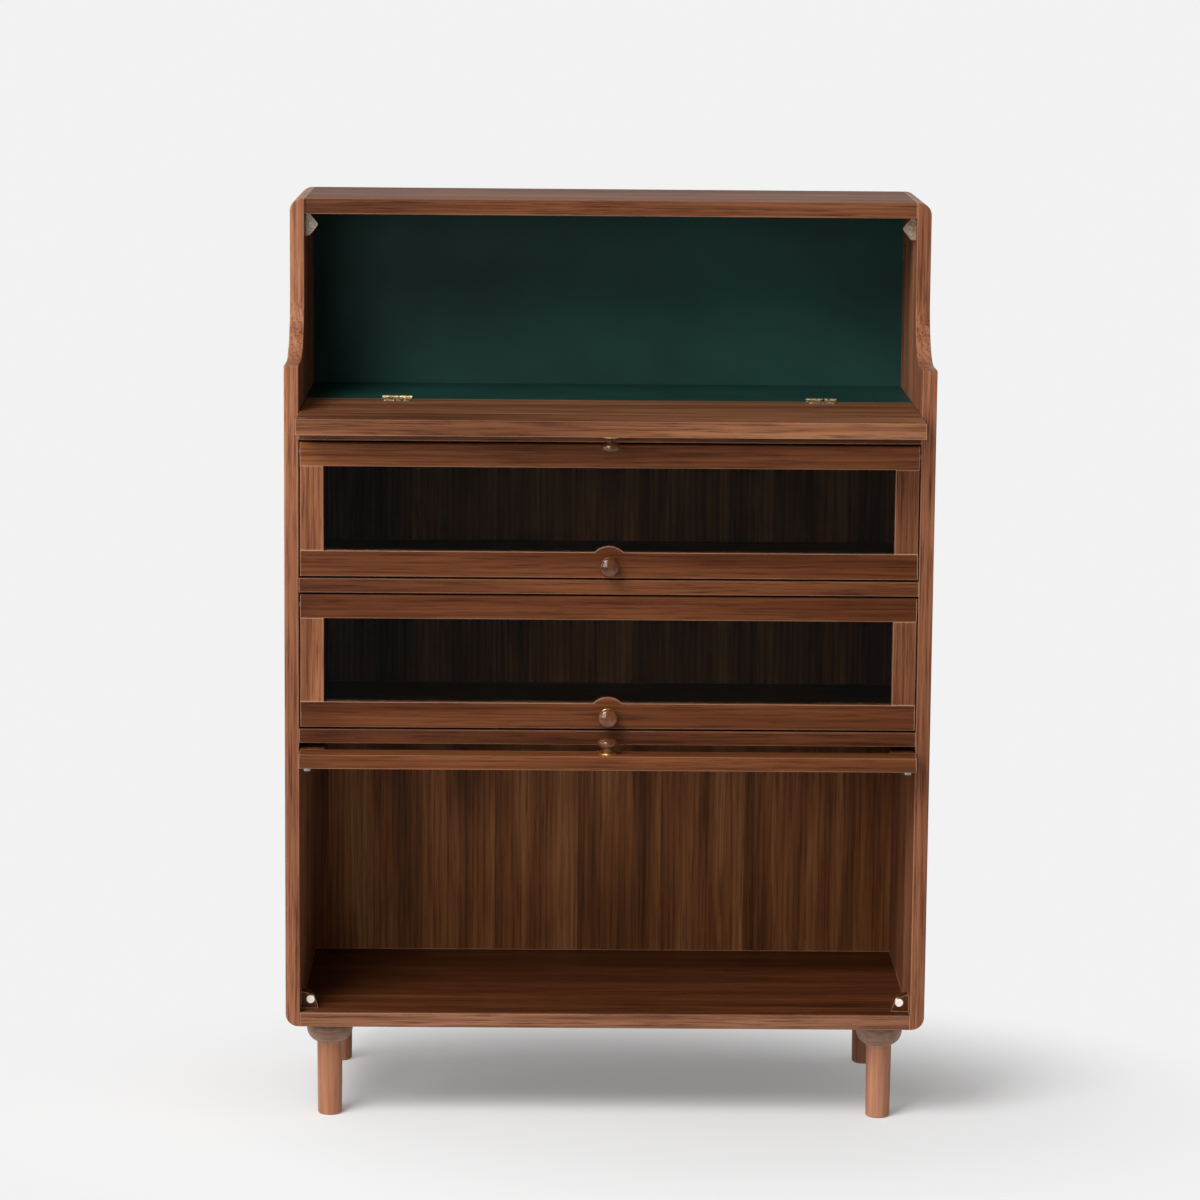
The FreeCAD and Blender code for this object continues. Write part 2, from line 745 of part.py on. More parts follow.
def hinge_leaves(name, sign, own_knuckles):
    """The leaves on one side of the hinge line, each with its knuckles."""
    body = piece(name, along="hinge_setback", up="hinge_level")
    middle = "hinge_spread / 2"
    ahead = "%d * " % sign

    def leaf_point(share, out):
        return "%s + %s * hinge_length / 2" % (middle, share), ahead + out

    turn = sign
    points = [
        leaf_point("1", "leaf_start"),
        leaf_point("1", "(leaf_reach / 2 - leaf_notch)"),
        leaf_point("1", "leaf_reach / 2") + (-turn,),
        leaf_point("1", "(leaf_reach / 2 + leaf_notch)"),
        leaf_point("1", "(leaf_reach - leaf_corner)"),
        (middle + " + hinge_length / 2 - leaf_corner", ahead + "(leaf_reach - leaf_corner)", turn),
        (middle + " + hinge_length / 2 - leaf_corner", ahead + "leaf_reach"),
        (middle + " + leaf_notch", ahead + "leaf_reach"),
        (middle, ahead + "leaf_reach", -turn),
        (middle + " - leaf_notch", ahead + "leaf_reach"),
        (middle + " - hinge_length / 2 + leaf_corner", ahead + "leaf_reach"),
        (middle + " - hinge_length / 2 + leaf_corner", ahead + "(leaf_reach - leaf_corner)", turn),
        leaf_point("-1", "(leaf_reach - leaf_corner)"),
        leaf_point("-1", "(leaf_reach / 2 + leaf_notch)"),
        leaf_point("-1", "leaf_reach / 2") + (-turn,),
        leaf_point("-1", "(leaf_reach / 2 - leaf_notch)"),
        leaf_point("-1", "leaf_start"),
    ]
    under = "-(barrel_radius + barrel_lift)"
    pad(body, outline(body, "XY_Plane", points, lift=under), "leaf_thick")
    tongue = ("0", "leaf_start") if sign > 0 else ("-leaf_start", "0")
    for index in own_knuckles:
        start = "%s - hinge_length / 2 + %d * knuckle_pitch" % (middle, index)
        first = start + " + knuckle_gap / 2"
        last = start + " + knuckle_pitch - knuckle_gap / 2"
        rod(body, "barrel_radius", "knuckle_pitch - knuckle_gap", (first, "0", "0"))
        block(body, (first, last), tongue, (under, under + " + leaf_thick"))
    rod(body, "hinge_pin_radius + hinge_pin_play", "hinge_length + 2 * overrun",
        (middle + " - hinge_length / 2 - overrun", "0", "0"), cut=True)
    mirrored(body)


hinge_leaves("hinge_floor_leaves", 1, (0, 2, 4))
hinge_leaves("hinge_flap_leaves", -1, (1, 3))
hinge_pins = piece("hinge_pins", along="hinge_setback", up="hinge_level")
rod(hinge_pins, "hinge_pin_radius", "hinge_length",
    ("hinge_spread / 2 - hinge_length / 2", "0", "0"))
mirrored(hinge_pins)


# Magnetic catches of the flap, half a hexagon each, under the top panel

blocks = piece("flap_catch_blocks", along="flap_block_front")
halfway = "flap_block_middle"
pad(blocks, outline(blocks, "XZ_Plane", [
    ("inside", "roof_base"),
    ("inside - flap_block_flat", "roof_base"),
    ("inside - tip_across", halfway + " + tip_up"),
    ("inside - tip_centre", halfway, 1),
    ("inside - tip_across", halfway + " - tip_up"),
    ("inside - flap_block_flat", "roof_base - flap_block_height"),
    ("inside", "roof_base - flap_block_height"),
]), "flap_block_depth", backwards=True)
rod(blocks, "flap_magnet_radius + press_play", "flap_magnet_depth + overrun",
    ("flap_strike_across", "-overrun", halfway), axis="y", cut=True)
mirrored(blocks)

magnets = piece("flap_magnets", along="flap_block_front")
rod(magnets, "flap_magnet_radius", "flap_magnet_depth",
    ("flap_strike_across", "0", halfway), axis="y")
mirrored(magnets)


# Magnetic catches of the doors, quarter rounds in the openings' lower corners

blocks = piece("door_catch_blocks", along="door_block_front")
magnets = piece("door_magnets", along="door_block_front")
for floor in ("bottom_top", "middle_floor", "upper_floor"):
    quarter = outline(blocks, "XZ_Plane", [
        ("inside", floor),
        ("inside", floor + " + door_block_radius"),
        ("inside", floor, 1),
        ("inside - door_block_radius", floor),
    ])
    pad(blocks, quarter, "door_block_depth", backwards=True)
    centre = ("door_strike_across", "0", floor + " + door_magnet_rise")
    ahead = (centre[0], "-overrun", centre[2])
    rod(blocks, "door_magnet_radius + press_play", "door_magnet_depth + overrun", ahead,
        axis="y", cut=True)
    rod(magnets, "door_magnet_radius", "door_magnet_depth", centre, axis="y")
    rod(magnets, "door_magnet_hole", "door_magnet_depth + 2 * overrun", ahead, axis="y",
        cut=True)
mirrored(blocks)
mirrored(magnets)


# Every piece is checked before any is written.

DOCUMENT.recompute()
for item in DOCUMENT.Objects:
    if "Invalid" in item.State or "Error" in item.State:
        raise RuntimeError("%s is %s." % (item.Name, item.State))
for body in PIECES:
    if body.Shape.isNull() or not body.Shape.isValid():
        raise RuntimeError("%s has no valid shape." % body.Label)

os.makedirs("parts", exist_ok=True)
for body in PIECES:
    body.Shape.exportStep("parts/%s.step" % body.Label)
    print(body.Label, len(body.Shape.Solids), "solid(s)")
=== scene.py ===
# %% [markdown]
# # A glazed secretary cabinet in walnut
# The cabinet has a writing compartment with a drop-down flap over three
# bookcase compartments, whose glazed doors lift and slide back. The frame
# holds every board, rail and pin of it in metres, with X to the right, Y to
# the back and Z up. This lesson gives each of them its finish, adds the screws
# of the hinges, the magnets and the backs, and sets up the camera and the
# light.

# %% Load the frame
import math

import bpy
import numpy as np
from mathutils import Matrix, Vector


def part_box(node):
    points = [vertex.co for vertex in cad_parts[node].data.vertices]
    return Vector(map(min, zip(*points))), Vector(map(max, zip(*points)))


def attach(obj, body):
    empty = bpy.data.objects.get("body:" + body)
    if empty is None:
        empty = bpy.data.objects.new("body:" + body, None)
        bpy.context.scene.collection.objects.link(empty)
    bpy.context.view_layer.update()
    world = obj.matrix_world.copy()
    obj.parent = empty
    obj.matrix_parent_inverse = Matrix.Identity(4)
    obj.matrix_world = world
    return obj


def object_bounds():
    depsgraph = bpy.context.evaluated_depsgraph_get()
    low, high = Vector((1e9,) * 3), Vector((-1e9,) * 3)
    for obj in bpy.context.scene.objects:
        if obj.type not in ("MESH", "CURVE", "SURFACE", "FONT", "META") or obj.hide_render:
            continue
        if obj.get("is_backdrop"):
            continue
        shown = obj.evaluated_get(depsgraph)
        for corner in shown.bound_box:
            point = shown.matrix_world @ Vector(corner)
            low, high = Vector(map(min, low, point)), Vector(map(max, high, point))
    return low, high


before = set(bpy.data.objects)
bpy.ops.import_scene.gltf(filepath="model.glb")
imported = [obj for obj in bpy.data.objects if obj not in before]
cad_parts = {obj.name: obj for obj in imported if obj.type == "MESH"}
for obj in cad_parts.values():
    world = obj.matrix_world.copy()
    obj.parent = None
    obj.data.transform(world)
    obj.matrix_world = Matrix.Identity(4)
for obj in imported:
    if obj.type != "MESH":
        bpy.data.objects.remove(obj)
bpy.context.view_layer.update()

# %% [markdown]
# ## The camera
# The photograph was taken from more than five metres away with a long lens, a
# little above the cabinet and looking slightly down at it. A camera can be
# placed by eye, or from the angles of a fit to the straight edges. The angles
# are used here, because long level boards show an error of a tenth of a degree.

# %% Place the camera
YAW = -0.0100       # in radians, turned a little to the right
PITCH = 0.1586      # tilted down
ROLL = 0.0086       # leaning a little to the left
EYE = (-0.062886, -5.335575, 1.4984)
SENSOR = 36.0       # its width in millimetres
FOCAL = 128.13      # in millimetres
SIGHT_END = 200.0   # in metres, beyond the edge of the floor

right = np.array([math.cos(YAW), math.sin(YAW), 0.0])
ahead = np.array([-math.sin(YAW) * math.cos(PITCH), math.cos(YAW) * math.cos(PITCH), -math.sin(PITCH)])
above = np.cross(right, ahead)
matrix = np.eye(4)
matrix[:3, 0] = math.cos(ROLL) * right + math.sin(ROLL) * above
matrix[:3, 1] = math.cos(ROLL) * above - math.sin(ROLL) * right
matrix[:3, 2] = -ahead
matrix[:3, 3] = EYE

lens = bpy.data.cameras.new("camera")
lens.sensor_width = SENSOR
lens.lens = FOCAL
lens.clip_end = SIGHT_END
camera = bpy.data.objects.new("camera", lens)
bpy.context.scene.collection.objects.link(camera)
camera.matrix_world = Matrix(matrix.tolist())
bpy.context.scene.camera = camera
print("camera", [round(v, 3) for v in camera.location], "lens", round(lens.lens, 2), "mm")

# %% [markdown]
# ## Small tools for materials
# Every finish is a tree of nodes. Writing each node out takes four or five
# lines, so one function adds a node, sets it up and links it. Another turns a
# colour from the sRGB code that a painter would note into linear light, which
# is what the shader works in. Two more start an empty material and put a
# finished one on the cabinet's pieces.

# %% Colours and nodes
FACTOR = 0   # the sockets of a node that mixes two colours: how much of the second,
FIRST = 6    # the first colour,
SECOND = 7   # the second colour,
MIXED = 2    # and the colour that comes out


def linear(code):
    """Linear light from an sRGB code: a channel c becomes c / 12.92 up to 0.04045,
    and ((c + 0.055) / 1.055) to the power 2.4 above it."""
    c = np.array([int(code[i:i + 2], 16) for i in (1, 3, 5)]) / 255.0
    return (*np.where(c <= 0.04045, c / 12.92, ((c + 0.055) / 1.055) ** 2.4).tolist(), 1.0)


def add(tree, kind, inputs=None, stops=None, **settings):
    """Adds a node. Settings are its own properties, inputs gives each socket a value
    or the output that is linked to it, and stops are a colour ramp's places and colours."""
    node = tree.nodes.new("ShaderNode" + kind)
    for name, value in settings.items():
        setattr(node, name, value)
    for socket, value in (inputs or {}).items():
        if isinstance(value, bpy.types.NodeSocket):
            tree.links.new(value, node.inputs[socket])
        else:
            node.inputs[socket].default_value = value
    if stops:
        points = node.color_ramp.elements
        points[0].position = stops[0][0]
        points[-1].position = stops[-1][0]
        for place, _ in stops[1:-1]:
            points.new(place)
        for point, (_, colour) in zip(points, stops):
            point.color = colour
    return node


def start_material(name):
    """An empty material with its shader and output, and the place on the cabinet in metres."""
    material = bpy.data.materials.new(name)
    material.use_nodes = True
    tree = material.node_tree
    tree.nodes.clear()
    shader = add(tree, "BsdfPrincipled")
    add(tree, "OutputMaterial", {"Surface": shader.outputs[0]})
    return material, tree, shader, add(tree, "TexCoord").outputs["Object"]


def dress(material, *names):
    """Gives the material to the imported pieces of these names."""
    for name in names:
        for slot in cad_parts[name].material_slots:
            slot.material = material
    print(material.name, "on", len(names), "pieces")


print("mid walnut in linear light", [round(v, 3) for v in linear("#6b4029")])

# %% [markdown]
# ## Grain in space
# Wood is a stack of growth rings round a pith, and a board is a cut through
# it. Grain could be painted on each face, but worked out in space it needs no
# unwrapping: rings round a line along the grain, bent by slow noise and drawn
# out along the grain. Faces then show long streaks, ends show rings, and the
# two meet at the edges as they do in a real board. Wide boards are glued up
# from staves, so each stave takes its wood from another place in the tree.

# %% Staves and grain
RING = 0.0075        # growth rings of walnut are 5 to 10 mm apart
RING_WAVE = 0.314    # the ring spacing of a Wave texture whose scale is 1
STREAK = 0.0022      # pores are 0.3 mm wide, drawn coarser so that they show in the render
BAND_SCALE = 26.0    # bands of slow colour, about 40 mm wide across the grain
STAVE = 0.078        # the boards are glued up from staves of about 80 mm
OTHER_WOOD = 0.6     # how far away in the tree a stave's wood may come from
DRAWN_OUT = {"bands": 0.06, "rings": 0.045, "streaks": 0.028}   # their scale along the grain


def in_staves(tree, place, axis, width, seed):
    """The place, moved to another part of the tree for each stave. Staves of that width
    are counted along the axis, and chance gives each number its own shift."""
    parts = add(tree, "SeparateXYZ", {0: place})
    count = add(tree, "Math", {0: parts.outputs[axis], 1: 1 / width, 2: seed}, operation="MULTIPLY_ADD")
    whole = add(tree, "Math", {0: count.outputs[0]}, operation="FLOOR")
    chance = add(tree, "TexWhiteNoise", {"W": whole.outputs[0]}, noise_dimensions="1D")
    return add(tree, "VectorMath", {0: chance.outputs["Color"], 1: (OTHER_WOOD,) * 3, 2: place},
               operation="MULTIPLY_ADD").outputs[0]


def wood_grain(tree, place, axis, seed, tilt):
    """Three patterns along an axis: slow bands of colour, growth rings and streaks of
    pores. Each is drawn out along the grain. The seed picks the place in the tree, and
    tilt leans the pith from the grain."""
    along = "XYZ".index(axis)
    drawn = {}
    for pattern, share in DRAWN_OUT.items():
        scale = [1.0, 1.0, 1.0]
        scale[along] = share
        turn = [tilt, tilt, tilt]
        turn[along] = 0.0
        drawn[pattern] = add(tree, "Mapping", {"Vector": place, "Location": (seed, 0.3 * seed, -0.7 * seed),
                                               "Rotation": turn, "Scale": scale}).outputs[0]
    bands = add(tree, "TexNoise", {"Vector": drawn["bands"], "Scale": BAND_SCALE, "Detail": 4.0,
                                   "Roughness": 0.55, "Distortion": 0.4})
    rings = add(tree, "TexWave", {"Vector": drawn["rings"], "Scale": RING_WAVE / RING, "Distortion": 7.0,
                                  "Detail": 3.0, "Detail Scale": 0.8, "Detail Roughness": 0.6},
                wave_type="RINGS", rings_direction=axis)
    streaks = add(tree, "TexNoise", {"Vector": drawn["streaks"], "Scale": 1 / STREAK, "Detail": 3.0,
                                     "Roughness": 0.65})
    return bands.outputs[0], rings.outputs["Fac"], streaks.outputs[0]


print("rings", RING * 1000, "mm, streaks", STREAK * 1000, "mm, staves", STAVE * 1000, "mm")

# %% [markdown]
# ## Painted highlights on the edges
# Eased edges catch the light in a thin pale line, and here that highlight is painted into the colour.
# Edges could be painted one by one, but a Bevel node finds them all: it
# rounds the normal off close to an edge, and the more the rounded normal
# turns away from the true one, the nearer the edge is.

# %% Paint the highlights on the edges
ARRIS = 0.0020   # the pale line is about 2 mm wide
EDGE_HIGHLIGHT = linear("#d8ad90")


def paint_edge_highlights(tree, colour):
    """The colour with a painted highlight mixed in at the edges. Its share grows as the
    product of the rounded and the true normal falls."""
    rounded = add(tree, "Bevel", {"Radius": ARRIS}, samples=4)
    true = add(tree, "NewGeometry")
    turned = add(tree, "VectorMath", {0: rounded.outputs[0], 1: true.outputs["Normal"]},
                 operation="DOT_PRODUCT")
    share = add(tree, "MapRange", {"Value": turned.outputs["Value"], "From Min": 0.985, "From Max": 0.80,
                                   "To Min": 0.0, "To Max": 0.62})
    return add(tree, "Mix", {FACTOR: share.outputs[0], FIRST: colour, SECOND: EDGE_HIGHLIGHT},
               data_type="RGBA").outputs[MIXED]


# the painted edge highlight is this wide
print("edges rubbed over", ARRIS * 1000, "mm")

# %% [markdown]
# ## Solid walnut under satin lacquer
# Walnut's own colour wanders slowly between a dark and a pale tone. The late
# wood of each ring and the pores darken it as a dye does, which is a
# multiplication. A satin lacquer lies over it, sinks a little into the pores
# and is duller there. One recipe with the tones and the direction left open
# serves every board, so all of them belong to one cabinet.

# %% The walnut recipe
RELIEF = 0.00025   # how deep the lacquer sinks, drawn deeper so that it shows
TONE_PLACES = (0.30, 0.50, 0.70)
LATE_WOOD = [(0.0, linear("#b89c8c")), (0.45, linear("#fbf6f2")), (1.0, linear("#ffffff"))]
PORES = [(0.36, linear("#8d766a")), (0.50, linear("#f4efec")), (0.66, linear("#ffffff"))]


def walnut(name, grain, tones, seed, staves=None, width=STAVE, tilt=0.05, lacquer=0.42, level=0.13,
           ring_share=0.45, pore_share=0.74, pale_front_edge=None):
    """Walnut whose grain runs along one axis, from dark, middle and pale tones. Staves
    names the axis that strips are counted along, and width is theirs. Lacquer is the
    roughness and level the specular level, and the shares say how strongly rings and
    pores show. A pale front edge gives other tones in front of a place in Y: that
    place, and the tones."""
    material, tree, shader, start = start_material(name)
    place = in_staves(tree, start, staves, width, seed) if staves else start
    bands, rings, streaks = wood_grain(tree, place, grain, seed, tilt)
    body = add(tree, "ValToRGB", {0: bands}, list(zip(TONE_PLACES, map(linear, tones)))).outputs[0]
    if pale_front_edge:
        edge, strip_tones = pale_front_edge
        strip = add(tree, "ValToRGB", {0: bands}, list(zip(TONE_PLACES, map(linear, strip_tones))))
        depth = add(tree, "SeparateXYZ", {0: start})
        before = add(tree, "Math", {0: depth.outputs["Y"], 1: edge}, operation="LESS_THAN")
        body = add(tree, "Mix", {FACTOR: before.outputs[0], FIRST: body, SECOND: strip.outputs[0]},
                   data_type="RGBA").outputs[MIXED]
    late = add(tree, "ValToRGB", {0: rings}, LATE_WOOD)
    pores = add(tree, "ValToRGB", {0: streaks}, PORES)
    ringed = add(tree, "Mix", {FACTOR: ring_share, FIRST: body, SECOND: late.outputs[0]},
                 data_type="RGBA", blend_type="MULTIPLY")
    pored = add(tree, "Mix", {FACTOR: pore_share, FIRST: ringed.outputs[MIXED], SECOND: pores.outputs[0]},
                data_type="RGBA", blend_type="MULTIPLY")
    # a painted highlight on every edge
    colour = paint_edge_highlights(tree, pored.outputs[MIXED])
    rough = add(tree, "MapRange", {"Value": streaks, "To Min": lacquer + 0.08, "To Max": lacquer - 0.06})
    relief = add(tree, "Bump", {"Height": pores.outputs[0], "Distance": RELIEF, "Strength": 0.35})
    tree.links.new(colour, shader.inputs["Base Color"])
    tree.links.new(rough.outputs[0], shader.inputs["Roughness"])
    tree.links.new(relief.outputs[0], shader.inputs["Normal"])
    shader.inputs["Specular IOR Level"].default_value = level
    return material


print("late wood darkens to", [round(v, 3) for v in LATE_WOOD[0][1]])

# %% [markdown]
# ## Boards and sides
# The level boards inside get darker, redder tones and the uprights, with their
# straight grain, paler ones. This is painted shade and light: walnut looks darker
# where its grain lies level and lighter where it runs upright. The grain follows
# the long side of every piece. One recipe in several tones and directions does
# that, where a single texture would run straight through the joints. The bottom
# board is paler along its front edge, which the recipe tells by its place.

# %% Dress the boards and the sides
BOARD = ("#411f0a", "#593017", "#704224")
PALE_FRONT_DEPTH = 0.005   # the strip on the bottom board's front edge is 5 mm deep

# planed walnut, lacquered flat: level streaks in the darkest tones, painted shade for the shade inside the
# cabinet and for level grain
dress(walnut("walnut_planed_boards", "X", BOARD, seed=1.61, staves="Y"),
      "lower_shelf", "upper_shelf", "ledge_board", "desk_floor_board")
# the same board on top, in paler, greyer tones: painted light and painted sheen for the light and the
# grazing reflection on its upper face; its rougher, less glossy lacquer stands for dusting
dress(walnut("walnut_planed_top", "X", ("#4f2e1b", "#6e4329", "#875a3e"), seed=0.37, staves="Y",
             lacquer=0.52, level=0.08), "top_panel")
# a board given paler tones along its front edge: a pale line over the legs
bottom_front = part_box("bottom_panel")[0][1]
dress(walnut("walnut_bottom_pale_front", "X", ("#3f1f0e", "#5c331c", "#75452a"), seed=1.19, staves="Y",
             pale_front_edge=(bottom_front + PALE_FRONT_DEPTH, ("#6a432b", "#855a41", "#986f55"))), "bottom_panel")
# the flap's wide panel: milder and warmer, in paler tones than the boards inside as painted light, for the
# light on its upturned face
dress(walnut("walnut_planed_flap", "X", ("#58331b", "#794d33", "#956748"), seed=2.83, staves="Y"),
      "flap_panel")
# upright boards with straight grain: paler tones than the level boards as painted light, for the lighter
# look of upright grain and the light from the left; pale front edges frame the cabinet
dress(walnut("walnut_planed_sides", "Z", ("#70432a", "#915f43", "#a77555"), seed=4.19, staves="Y"),
      "left_side_panel", "right_side_panel")

# %% [markdown]
# ## Door frames
# A rail and its stiles come from different boards, and their grains meet at a
# right angle in the joint. So rails, left stiles, right stiles and beads each
# get their own tones and their own place in the tree. The lower door is
# raised and lies level, and its stiles point to the back.

# %% Dress the door frames
DOORS = ("upper_door", "middle_door", "lower_door")
CLOSED = DOORS[:2]
# painted light: these three rails get paler tones, for the light under the flap and on the raised door's
# upturned rails
PAINTED_LIT_RAILS = ("upper_door_top_rail", "lower_door_top_rail", "lower_door_bottom_rail")
rails = [door + end for door in DOORS for end in ("_top_rail", "_bottom_rail")]

# moulded and sanded rails: calmer and duller than the boards, with weaker rings
dress(walnut("walnut_moulded_rails", "X", ("#3d1d0a", "#542c15", "#6a3e22"), seed=5.27, level=0.09,
             ring_share=0.38, pore_share=0.58), *[rail for rail in rails if rail not in PAINTED_LIT_RAILS])
# painted light: paler tones for the upper door's top rail under the flap and the raised lower door's rails
dress(walnut("walnut_moulded_rails_painted_lit", "X", ("#4d2811", "#6a3d21", "#855131"), seed=5.83, level=0.09,
             ring_share=0.38, pore_share=0.58), *PAINTED_LIT_RAILS)
# stiles: upright grain, the left ones in paler tones than the right ones
dress(walnut("walnut_moulded_left_stiles", "Z", ("#663b22", "#865538", "#9c6a4b"), seed=6.71),
      *[door + "_left_stile" for door in CLOSED])
dress(walnut("walnut_moulded_right_stiles", "Z", ("#512c18", "#6c4128", "#83553a"), seed=6.13),
      *[door + "_right_stile" for door in CLOSED])
dress(walnut("walnut_moulded_raised_stiles", "Y", BOARD, seed=7.93),
      "lower_door_left_stile", "lower_door_right_stile")
# beads hold the panes from behind: thin dark strips
dress(walnut("walnut_glazing_beads", "X", ("#3b1f10", "#58321c", "#70432a"), seed=8.17),
      *[door + "_glazing_beads" for door in DOORS])

# %% [markdown]
# ## The veneered back
# The lower back is a thin panel faced with walnut veneer, laid in upright
# leaves about 110 mm wide. A knife slices veneer across the rings, which gives
# long, strong stripes. The same recipe does it, with wider strips, tones that
# lie further apart and less gloss.

# %% Dress the lower back
LEAF = 0.11   # the width of a leaf of veneer
dress(walnut("walnut_sliced_veneer", "Z", ("#44260f", "#774826", "#9a6a40"), seed=3.31, staves="X",
             width=LEAF, tilt=0.02, lacquer=0.5, level=0.10, pore_share=0.5), "lower_back_panel")

# %% [markdown]
# ## Turned legs, buns and knobs
# The legs are turned along the grain and get paler, warmer tones as painted
# light, for the strong light on them from the left and from the floor. The buns
# above them are cut across the grain, so they look darker and greyer, and their
# tones are also darkened a little as painted shade, for the shade under the cabinet.
# The knobs are small turnings in dark walnut with their end grain to the
# front, where the rings show. They are polished under a second, glossy coat,
# which is the shader's clear coat over the satin one. The flap's knob and the
# raised door's knob stand upright, so their grain does too.

# %% Dress the turned pieces
CORNERS = ("front_left", "front_right", "rear_left", "rear_right")
KNOB = ("#3c2010", "#5a331c", "#784826")
KNOBS = {"walnut_gloss_knobs": ("Y", 2.21, ("upper_door_knob", "middle_door_knob")),
         "walnut_gloss_standing_knobs": ("Z", 2.77, ("flap_knob", "lower_door_knob"))}

# painted light: pale, warm tones for the strong light on the legs
dress(walnut("walnut_turned_legs", "Z", ("#976549", "#a67257", "#b7866a"), seed=0.83, lacquer=0.40,
             ring_share=0.2, pore_share=0.28), *[corner + "_leg" for corner in CORNERS])
# painted shade: the buns' tones are darkened a little for the shade under the cabinet
dress(walnut("walnut_turned_buns", "X", ("#6a5041", "#8a6d5c", "#a38675"), seed=1.37, lacquer=0.36,
             ring_share=0.25, pore_share=0.35), *[corner + "_bun" for corner in CORNERS])
for name, (grain, seed, knobs) in KNOBS.items():
    material = walnut(name, grain, KNOB, seed, lacquer=0.40, level=0.1, ring_share=0.3, pore_share=0.4)
    shader = material.node_tree.nodes["Principled BSDF"]
    shader.inputs["Coat Weight"].default_value = 1.0
    shader.inputs["Coat Roughness"].default_value = 0.06
    dress(material, *knobs)

# %% [markdown]
# ## Green lacquer
# The upper back and the writing surface are painted in a deep teal, matt to
# the hand. A roller leaves a faint orange peel and a breath of uneven tone,
# which is all that keeps such a dark field from looking flat. Two noises do
# it: a slow one for the tone and a fine one for the relief.

# %% Paint the desk and the upper back
CLOUD_SCALE = 7.0     # clouds of tone about 140 mm across, as a roller leaves them
PEEL = 0.0022         # the bumps of orange peel are 1 to 3 mm apart
PEEL_RISE = 0.00008   # and less than a tenth of a millimetre high

material, tree, shader, place = start_material("lacquer_rolled_matt_teal")
cloud = add(tree, "TexNoise", {"Vector": place, "Scale": CLOUD_SCALE, "Detail": 3.0, "Roughness": 0.5})
tone = add(tree, "ValToRGB", {0: cloud.outputs[0]},
           [(0.32, linear("#17342f")), (0.68, linear("#1b3e38"))])
peel = add(tree, "TexNoise", {"Vector": place, "Scale": 1 / PEEL, "Detail": 2.0})
relief = add(tree, "Bump", {"Height": peel.outputs[0], "Distance": PEEL_RISE, "Strength": 0.4})
rough = add(tree, "MapRange", {"Value": peel.outputs[0], "To Min": 0.46, "To Max": 0.58})
tree.links.new(tone.outputs[0], shader.inputs["Base Color"])
tree.links.new(rough.outputs[0], shader.inputs["Roughness"])
tree.links.new(relief.outputs[0], shader.inputs["Normal"])
shader.inputs["Specular IOR Level"].default_value = 0.12
dress(material, "desk_surface", "upper_back_panel")

# %% [markdown]
# ## Window glass
# The panes are clear float glass, four millimetres thick. A pane can be a
# transparent sheet or a solid of glass, and the solid is used because the
# rebates hold a real thickness. Its reflection is set low, as the room in
# front of the cabinet was dark. A trace of dust and wiping changes the gloss.

# %% Glaze the doors
WIPED = (6.0, 6.0, 40.0)   # a cloth was drawn from side to side, so the traces are long in X

material, tree, shader, place = start_material("glass_float_clear")
wiped = add(tree, "Mapping", {"Vector": place, "Rotation": (0.0, 0.35, 0.2), "Scale": WIPED})
dust = add(tree, "TexNoise", {"Vector": wiped.outputs[0], "Scale": 3.0, "Detail": 5.0, "Roughness": 0.7})
haze = add(tree, "MapRange", {"Value": dust.outputs[0], "From Min": 0.45, "From Max": 0.8,
                              "To Min": 0.0, "To Max": 0.05})
tint = add(tree, "ValToRGB", {0: dust.outputs[0]},
           [(0.3, linear("#eef6f2")), (0.8, linear("#e2ece7"))])
tree.links.new(tint.outputs[0], shader.inputs["Base Color"])
tree.links.new(haze.outputs[0], shader.inputs["Roughness"])
shader.inputs["Transmission Weight"].default_value = 1.0
shader.inputs["IOR"].default_value = 1.5
shader.inputs["Specular IOR Level"].default_value = 0.2
dress(material, *[door + "_glass" for door in DOORS])

# %% [markdown]
# ## Brass and steel
# The rings under the knobs are turned brass, polished and lacquered. The
# hinges are pressed brass that has aged to a grey brown, in dark and pale
# patches whose strong contrast is also painted highlight and shade, for the
# glints and hollows of the pressed ornament. The doors' pins and the strikes
# are plated steel. All of them are metal through and through, so the colour is
# that of the reflection, and a fine noise in the gloss stands for the marks of
# turning, pressing or handling.

# %% The metal recipe
def metal(name, dark, pale, gloss, spread, grit):
    """A metal whose colour wanders from dark to pale and whose roughness falls from
    gloss + spread to gloss, with noise of that grit in metres."""
    material, tree, shader, place = start_material(name)
    wear = add(tree, "TexNoise", {"Vector": place, "Scale": 1 / grit, "Detail": 4.0, "Roughness": 0.6})
    colour = add(tree, "ValToRGB", {0: wear.outputs[0]}, [(0.35, linear(dark)), (0.65, linear(pale))])
    rough = add(tree, "MapRange", {"Value": wear.outputs[0], "From Min": 0.3, "From Max": 0.7,
                                   "To Min": gloss + spread, "To Max": gloss})
    relief = add(tree, "Bump", {"Height": wear.outputs[0], "Distance": 0.0001, "Strength": 0.25})
    tree.links.new(colour.outputs[0], shader.inputs["Base Color"])
    tree.links.new(rough.outputs[0], shader.inputs["Roughness"])
    tree.links.new(relief.outputs[0], shader.inputs["Normal"])
    shader.inputs["Metallic"].default_value = 1.0
    return material


# polished under clear lacquer: a warm yellow glint
polished_brass = metal("brass_turned_polished", "#e0a848", "#ffd07a", gloss=0.30, spread=0.12, grit=0.0015)
# browned by age, in dark and pale patches whose strong contrast is also painted highlight and shade, for the
# glints and hollows of the ornament
aged_brass_with_glints = metal("brass_pressed_aged_glinting", "#3a2e1c", "#f2ddb0", gloss=0.34, spread=0.22, grit=0.0034)
